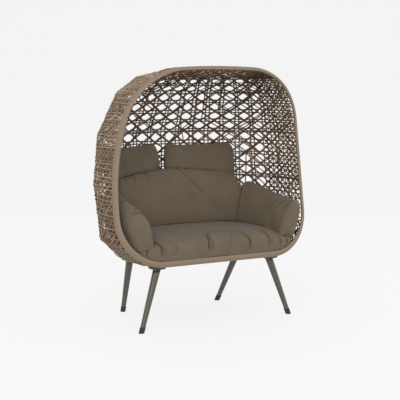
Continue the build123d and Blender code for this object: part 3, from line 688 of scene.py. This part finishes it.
def smooth_shares(places, at, values):
    """Shares between their places, on a curve that passes through each one without overshooting much."""
    at, values = np.array(at, float), np.array(values, float)
    slope = np.gradient(values, at)
    index = np.clip(np.searchsorted(at, places, side="right") - 1, 0, len(at) - 2)
    gap = at[index + 1] - at[index]
    t = (places - at[index]) / gap
    first = (1 + 2 * t) * (1 - t) ** 2 * values[index] + t * (1 - t) ** 2 * gap * slope[index]
    return first + t * t * (3 - 2 * t) * values[index + 1] + t * t * (t - 1) * gap * slope[index + 1]


def mirrored(*values):
    """Shares from one end to the middle, and the same back to the other end."""
    return values + values[-2::-1]


crown_power = 2.4


def puffed(across, knife=0.46, foot=0.46):
    """Half thickness of a filled cover, as a share, at a share of the way from its middle to its seam."""
    return (1 - np.minimum(np.abs(across), 1) ** crown_power) ** np.where(across < 0, foot, knife)


def section(sides):
    """Across and through shares round a cover: from the top or front seam over one face and back."""
    angle = 2 * np.pi * (np.arange(sides) + 0.5) / sides
    across = np.sign(np.cos(angle)) * np.abs(np.cos(angle)) ** (2 / crown_power)
    return across, np.sign(np.sin(angle)) * puffed(across)


def crease(offset, width):
    """A pinched fold across a line: a sharp valley with a plump rise on both sides."""
    share = np.abs(offset) / width
    return -np.exp(-share ** 1.3) + 0.24 * np.exp(-((share - 2.4) / 1.6) ** 2)


def gathered(along, across, through, folds, pitch, reach, seed):
    """How far a cover is pushed out: fine gathers of uneven pitch that fade away from the seam, broad soft
    dents, and single folds, each a crease (place, slant, from, to, depth, width) from one across share to
    another, on the face whose through share is positive."""
    drawn = np.random.default_rng(seed)
    seam = 1 - np.abs(across)
    warp = along + 0.12 * pitch * np.sin(along / pitch * 1.3 + drawn.uniform(0, 6.3))
    side = np.where(across > 0, 0.0, 2.1)
    slow = np.sin(2 * np.pi * warp / (pitch * 3.7) + 2 * side + 1)
    gathers = np.sin(2 * np.pi * warp / pitch + side) * slow
    gathers += 0.6 * np.sin(2 * np.pi * warp / (pitch * 0.61) + drawn.uniform(0, 6.3) + side)
    push = reach * gathers * np.exp(-(seam / 0.16) ** 1.4) * (1 - np.exp(-(seam / 0.012) ** 2))
    dent_depth = 0.0022
    for wave in (0.19, 0.31):
        turn = drawn.uniform(0, 6.3, 2)
        dent = dent_depth * np.sin(2 * np.pi * along / wave + turn[0] + 2.2 * across)
        push += dent * np.cos(2.6 * across + turn[1])
    for place, slant, start, end, depth, width in folds:
        far = (across - start) / (end - start)
        fade = np.clip((1.08 - far) / 0.5, 0, 1) * np.clip((far + 0.25) / 0.2, 0, 1)
        fade = fade * fade * (3 - 2 * fade) * np.clip((through + 0.40) / 0.3, 0, 1)
        bend = place + slant * far + 0.25 * slant * far ** 2
        push += depth * fade * crease(along - bend, width * (1 + 0.8 * far.clip(0, 1)))
    return push


def sewn_cover(name, node, rings, push, end_bulge=0.010):
    """A closed cover: its rings pushed out along the surface's own normal, closed by rounded ends."""
    ahead = np.gradient(rings, axis=0)
    round_way = np.roll(rings, -1, 1) - np.roll(rings, 1, 1)
    out = np.cross(ahead, round_way)
    out /= np.maximum(np.linalg.norm(out, axis=2, keepdims=True), 1e-9)
    middle = rings.mean(axis=1, keepdims=True)
    out *= np.sign(np.einsum("ijk,ijk->", out, rings - middle))
    rings = rings + out * push[..., None]
    ends = []
    for end, inner in ((0, 1), (-1, -2)):
        centre = rings[end].mean(axis=0)
        away = centre - rings[inner].mean(axis=0)
        away = away / np.linalg.norm(away)
        shrink = np.array([0.93, 0.8, 0.6, 0.36, 0.12])
        bulge = end_bulge * np.sqrt(1 - shrink ** 2)
        ends.append(centre + (rings[end] - centre) * shrink[:, None, None] + away * bulge[:, None, None])
    rings = np.concatenate([ends[0][::-1], rings, ends[1]])
    cushion = tube_mesh(name, [rings])
    cushion.data.materials.append(canvas)
    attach(cushion, "root")
    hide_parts(node)


seat_floor = float(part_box("seat_panel")[1][2]) + 0.0006
seat_half_width, seat_front, seat_depth, seat_thickness = 0.555, -0.362, 0.610, 0.158
seat_at = (-1, -0.95, -0.82, -0.6, -0.3, 0, 0.3, 0.6, 0.82, 0.95, 1)
front_shares = mirrored(0.15, 0.075, 0.02, -0.01, -0.012, -0.005)
rear_shares = mirrored(0.66, 0.78, 0.9, 0.96, 0.985, 1)
low_shares = mirrored(0.24, 0.12, 0.02, 0, 0, 0)
high_shares = mirrored(0.46, 0.61, 0.80, 0.95, 0.99, 1)


def seat_space(place):
    """Front, back, bottom and top of the seat cushion at a share of its half width."""
    front, rear = smooth_shares(place, seat_at, front_shares), smooth_shares(place, seat_at, rear_shares)
    low, high = smooth_shares(place, seat_at, low_shares), smooth_shares(place, seat_at, high_shares)
    near, far = seat_front + front * seat_depth, seat_front + rear * seat_depth
    return near, far, seat_floor + low * seat_thickness, seat_floor + high * seat_thickness


def over_seat(points, gap=0.001):
    """Lifts points that would lie in the seat cushion on to its top, where they press it flat."""
    near, far, low, high = seat_space(np.clip(points[..., 0] / seat_half_width, -1, 1))
    across = (points[..., 1] - (near + far) / 2) / ((far - near) / 2)
    top = (low + high) / 2 + puffed(across) * (high - low) / 2 + gap
    top = np.where((np.abs(across) < 1) & (np.abs(points[..., 0]) < seat_half_width), top, -1)
    return np.concatenate([points[..., :2], np.maximum(points[..., 2], top)[..., None]], -1)


def over_bar(points, through, clearance=0.0125, behind_y=-0.312, fade_depth=0.016):
    """Rests the underside of the seat cushion's front on the hoop: it sags on to a line that runs just inside
    the bottom bar and the foot bends, and nothing passes that line. Behind behind_y nothing moves."""
    beside = (np.abs(points[..., 0]) - bar_half_length).clip(0)
    below = (bar_height + foot_bend_radius - points[..., 2]).clip(0.001)
    distance = np.hypot(beside, below)
    limit = foot_bend_radius - clearance
    ahead = np.clip((behind_y - points[..., 1]) / fade_depth, 0, 1)
    sag = ahead * np.clip(-1.5 * through, 0, 1) * np.clip((distance - limit + 0.060) / 0.030, 0, 1)
    wanted = np.where(ahead > 0, np.minimum(distance, limit), distance)
    draw = (wanted + (limit - wanted) * sag) / distance
    x = np.sign(points[..., 0]) * (np.abs(points[..., 0]) - beside * (1 - draw))
    return np.stack([x, points[..., 1], points[..., 2] + below * (1 - draw)], -1)


place = np.sin(np.linspace(-np.pi / 2, np.pi / 2, 600))
near, far, low, high = [side[:, None] for side in seat_space(place)]
across, through = section(140)
lower_front = np.where((through < 0) & (across < 0), -np.abs(across) ** 0.25, across)
along = (place * seat_half_width)[:, None]
seat_rings = np.stack(np.broadcast_arrays(
    along,
    (near + far) / 2 + lower_front[None] * (far - near) / 2,
    (low + high) / 2 + through[None] * (high - low) / 2,
), -1)
seat_folds = (
    (-0.392, -0.030, -1.0, -0.62, 0.020, 0.0058),
    (-0.372, -0.060, -1.0, -0.80, 0.012, 0.0050),
    (-0.300, -0.020, -1.0, -0.86, 0.008, 0.0050),
    (-0.085, 0.040, -1.0, -0.58, 0.020, 0.0058),
    (-0.058, -0.010, -1.0, -0.76, 0.012, 0.0050),
    (0.060, 0.015, -1.0, -0.88, 0.007, 0.0050),
    (0.195, -0.045, -1.0, -0.58, 0.020, 0.0058),
    (0.335, -0.020, -1.0, -0.56, 0.020, 0.0058),
    (0.352, -0.050, -1.0, -0.76, 0.011, 0.0050),
    (0.420, -0.075, -1.0, -0.60, 0.014, 0.0054),
    (0.480, -0.060, -1.0, -0.70, 0.012, 0.0054),
    (-0.480, 0.040, -1.0, -0.70, 0.012, 0.0054),
)
push = gathered(along, across[None], through[None], seat_folds, pitch=0.060, reach=0.0016, seed=3)
under_fade = 1 - np.clip((-0.45 - through) / 0.4, 0, 0.95)
rear_fade = np.clip((0.50 - across) / 0.3, 0, 1)
end_fade = np.clip((1 - np.abs(place)) / 0.04, 0, 1)
push = push * under_fade[None] * rear_fade[None] * end_fade[:, None]
sewn_cover("seat_pad", "seat_cushion", over_bar(held(seat_rings), through[None]), push)


class Pillow:
    """A cushion that stands on its long edge: ovals along its length that thin out to the ends."""

    def __init__(self, place, size, lean, turn, bend, heights, thicks, dip=0, foot_knife=0.46):
        self.length, self.height, self.thickness = size
        self.bend, self.heights, self.thicks, self.foot_knife = bend, heights, thicks, foot_knife
        x, y, foot = place
        tilt, yaw, slope = np.radians(lean), np.radians(turn), np.radians(dip)
        along = np.array([np.cos(yaw), np.sin(yaw), 0])
        face = np.array([np.cos(tilt) * np.sin(yaw), -np.cos(tilt) * np.cos(yaw), np.sin(tilt)])
        up = np.cross(face, along)
        self.middle = np.array([x, y, foot + self.height / 2 * np.cos(tilt)])
        along, up = np.cos(slope) * along - np.sin(slope) * up, np.cos(slope) * up + np.sin(slope) * along
        self.axes = np.stack([along, up, face])

    def space(self, share):
        """Drop and bow of the middle, half height and half thickness at a share of the half length."""
        at = (-1, -0.94, -0.8, -0.45, 0, 0.45, 0.8, 0.94, 1)
        high = smooth_shares(share, at, self.heights)
        thick = smooth_shares(share, at, self.thicks)
        drop = -self.height / 2 * (1 - high)
        return drop, self.bend * share ** 2, self.height / 2 * high, self.thickness / 2 * thick

    def rings(self, stations, sides):
        """The cover's rings, with the share along and the section's shares for its folds."""
        share = np.sin(np.linspace(-np.pi / 2, np.pi / 2, stations))
        drop, bow, half_height, half_thick = [value[:, None] for value in self.space(share)]
        across, through = section(sides)
        through = np.sign(through) * puffed(across, foot=self.foot_knife)
        local = np.stack(np.broadcast_arrays(
            (share * self.length / 2)[:, None],
            drop + across[None] * half_height,
            bow + through[None] * half_thick,
        ), -1)
        return self.middle + local @ self.axes, share, across, through

    def past(self, points, side, gap=0.004):
        """Moves points that would lie in this cushion out past its front (1) or its back (-1)."""
        local = (points - self.middle) @ self.axes.T
        share = local[..., 0] / (self.length / 2)
        drop, bow, half_height, half_thick = self.space(share.clip(-1, 1))
        across = (local[..., 1] - drop) / half_height
        reach = half_thick * puffed(across, foot=self.foot_knife)
        inside = (np.abs(share) < 1) & (np.abs(across) < 1) & (np.abs(local[..., 2] - bow) < reach + gap)
        local[..., 2] = np.where(inside, bow + side * (reach + gap), local[..., 2])
        return self.middle + local @ self.axes


def pillow_cover(name, node, pillow, fitted, folds, seed, stations=300, sides=96):
    """Builds, fits and gathers one standing cushion."""
    rings, share, across, through = pillow.rings(stations, sides)
    along = (share * pillow.length / 2)[:, None]
    push = gathered(along, across[None], through[None], folds, pitch=0.045, reach=0.0022, seed=seed)
    end_fade, foot_fade = np.clip((1 - np.abs(share)) / 0.05, 0, 1), np.clip((across + 0.98) / 0.10, 0, 1)
    sewn_cover(name, node, fitted(rings), push * end_fade[:, None] * foot_fade[None])


back = Pillow(
    place=(-0.014, 0.178, 0.508), size=(0.905, 0.375, 0.150), lean=10, turn=0, bend=0.075,
    heights=(0.708, 0.840, 0.882, 0.958, 1, 0.948, 0.868, 0.755, 0.586),
    thicks=mirrored(0.40, 0.62, 0.85, 1, 1), foot_knife=0.28,
)
back_folds = (
    (-0.115, 0.030, 0.98, 0.35, 0.006, 0.0090),
    (0.030, 0.130, 0.98, -0.05, 0.012, 0.0085),
    (0.085, 0.110, 0.98, 0.20, 0.008, 0.0080),
    (0.170, 0.060, 0.98, 0.62, 0.006, 0.0070),
    (0.290, 0.040, 0.98, 0.55, 0.007, 0.0075),
    (-0.210, -0.015, 0.98, 0.66, 0.006, 0.0070),
    (-0.300, -0.020, 0.98, 0.62, 0.006, 0.0075),
    (0.405, -0.060, 0.75, 0.30, 0.008, 0.0080),
)


def on_seat(rings):
    """The back cushion stands on the seat cushion and leans on the rods."""
    return held(over_seat(rings))


def beside_back(rings):
    """An arm cushion stands on the seat cushion against the rods, with an open seam to the back cushion."""
    return over_bar(held(back.past(over_seat(rings), 1, gap=0.013)), np.zeros(1))


def behind_back(rings):
    """A head cushion stands behind the top of the back cushion, against the rods."""
    return held(back.past(rings, -1))


pillow_cover("back_pad", "back_cushion", back, on_seat, back_folds, 5, 440, 120)
arm_thicks = (0.70, 0.98, 1.15, 1.08, 1, 1.02, 0.98, 0.90, 0.70)
for side, hand, foot, height, dip, heights in (
    (-1, "left", 0.474, 0.282, -6, (0.56, 0.72, 0.86, 0.95, 0.97, 0.99, 1, 1, 0.97)),
    (1, "right", 0.455, 0.292, 11, (0.97, 1, 1, 0.99, 0.97, 0.97, 0.98, 0.95, 0.88)),
):
    arm = Pillow(
        place=(side * 0.505, -0.101, foot), size=(0.490, height, 0.134), lean=15, turn=-side * 80, bend=0.030,
        heights=heights, thicks=arm_thicks[::side], dip=dip, foot_knife=0.26,
    )
    front = side * 0.2
    arm_folds = (
        (front, -side * 0.03, 0.98, 0.40, 0.015, 0.0058),
        (front - side * 0.018, -side * 0.06, 0.98, 0.62, 0.009, 0.0050),
        (front - side * 0.050, -side * 0.05, 0.98, 0.25, 0.012, 0.0060),
        (front - side * 0.110, -side * 0.03, 0.98, 0.60, 0.007, 0.0060),
        (front - side * 0.005, -side * 0.07, -0.98, -0.45, 0.014, 0.0058),
        (front - side * 0.060, -side * 0.05, -0.98, -0.55, 0.010, 0.0058),
    )
    pillow_cover("arm_pad_" + hand, "arm_cushion_" + hand, arm, beside_back, arm_folds, 11 + side)
for hand, x, y, turn, seed in (("right", 0.200, 0.250, -6, 26), ("left", -0.300, 0.228, 20, 25)):
    head = Pillow(
        place=(x, y, 0.776), size=(0.468, 0.250, 0.095), lean=7, turn=turn, bend=0.022,
        heights=mirrored(0.90, 0.98, 1, 0.99, 0.98), thicks=mirrored(0.30, 0.52, 0.78, 0.96, 1),
    )
    pillow_cover("head_pad_" + hand, "headrest_" + hand, head, behind_back, (), seed, 130, 80)


# Setting: a pale floor that curves up into a backdrop, soft light from the upper left and a long lens. The
# backdrop stands square to the camera.
camera_turn = np.radians(-30.45)
away = np.array([-np.sin(camera_turn), np.cos(camera_turn), 0])
beside = np.array([np.cos(camera_turn), np.sin(camera_turn), 0])
floor_front, floor_back, floor_side, wall_height, curve_radius = -14, 4.0, 16.0, 14.0, 3.0
arc = np.linspace(0, np.pi / 2, 40)
reach = np.concatenate([
    [floor_front, 0], floor_back + curve_radius * np.sin(arc), [floor_back + curve_radius],
])
lift = np.concatenate([[0, 0], curve_radius - curve_radius * np.cos(arc), [wall_height]])
profile = reach[:, None] * away + lift[:, None] * [0, 0, 1]
sweep = np.array([beside * -floor_side, beside * floor_side])[None] + profile[:, None]
sweep_mesh = bpy.data.meshes.new("studio_sweep")
corner = np.arange(len(sweep) * 2).reshape(-1, 2)
faces = np.stack([corner[:-1, 0], corner[:-1, 1], corner[1:, 1], corner[1:, 0]], 1)
sweep_mesh.from_pydata(sweep.reshape(-1, 3), [], faces.tolist())
sweep_mesh.shade_smooth()
backdrop = bpy.data.objects.new("studio_sweep", sweep_mesh)
bpy.context.collection.objects.link(backdrop)
paper, _, paper_shader = new_material("studio_paper", (0.10, 0.10, 0.10), 0.9)
paper_shader.inputs["Emission Color"].default_value = (1, 1, 1, 1)
paper_shader.inputs["Emission Strength"].default_value = 0.78
backdrop.data.materials.append(paper)
backdrop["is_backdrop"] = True

world = bpy.data.worlds.new("studio")
bpy.context.scene.world = world
world.use_nodes = True
world.node_tree.nodes["Background"].inputs["Color"].default_value = (1.0, 1.0, 1.0, 1)
world.node_tree.nodes["Background"].inputs["Strength"].default_value = 0.94


def aimed(name, data, place, target):
    """Puts a lamp or camera at a place, level from side to side and turned towards a point."""
    thing = bpy.data.objects.new(name, data)
    bpy.context.collection.objects.link(thing)
    line = np.array(target) - np.array(place)
    fall = np.arccos(-line[2] / np.linalg.norm(line))
    thing.location = place
    thing.rotation_euler = (fall, 0, np.arctan2(line[1], line[0]) - np.pi / 2)
    return thing


for name, place, size, power in (("key", (-3.2, -4.0, 3.6), 2.6, 150), ("fill", (3.4, -4.2, 2.2), 3.0, 50)):
    softbox = bpy.data.lights.new(name, "AREA")
    softbox.size = size
    softbox.energy = power
    aimed(name, softbox, place, (0, 0, 0.7))
bpy.context.scene.view_settings.view_transform = "Standard"

camera = bpy.data.cameras.new("camera")
camera.lens = 95.9
camera.sensor_width = 36
bpy.context.scene.camera = aimed("camera", camera, (-3.218, -5.588, 1.430), (-0.0797, -0.25, 0.7289))

size = {
    "cad": [list(map(float, corner)) for corner in cad_box],
    "visual": [list(map(float, corner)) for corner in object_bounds()],
}
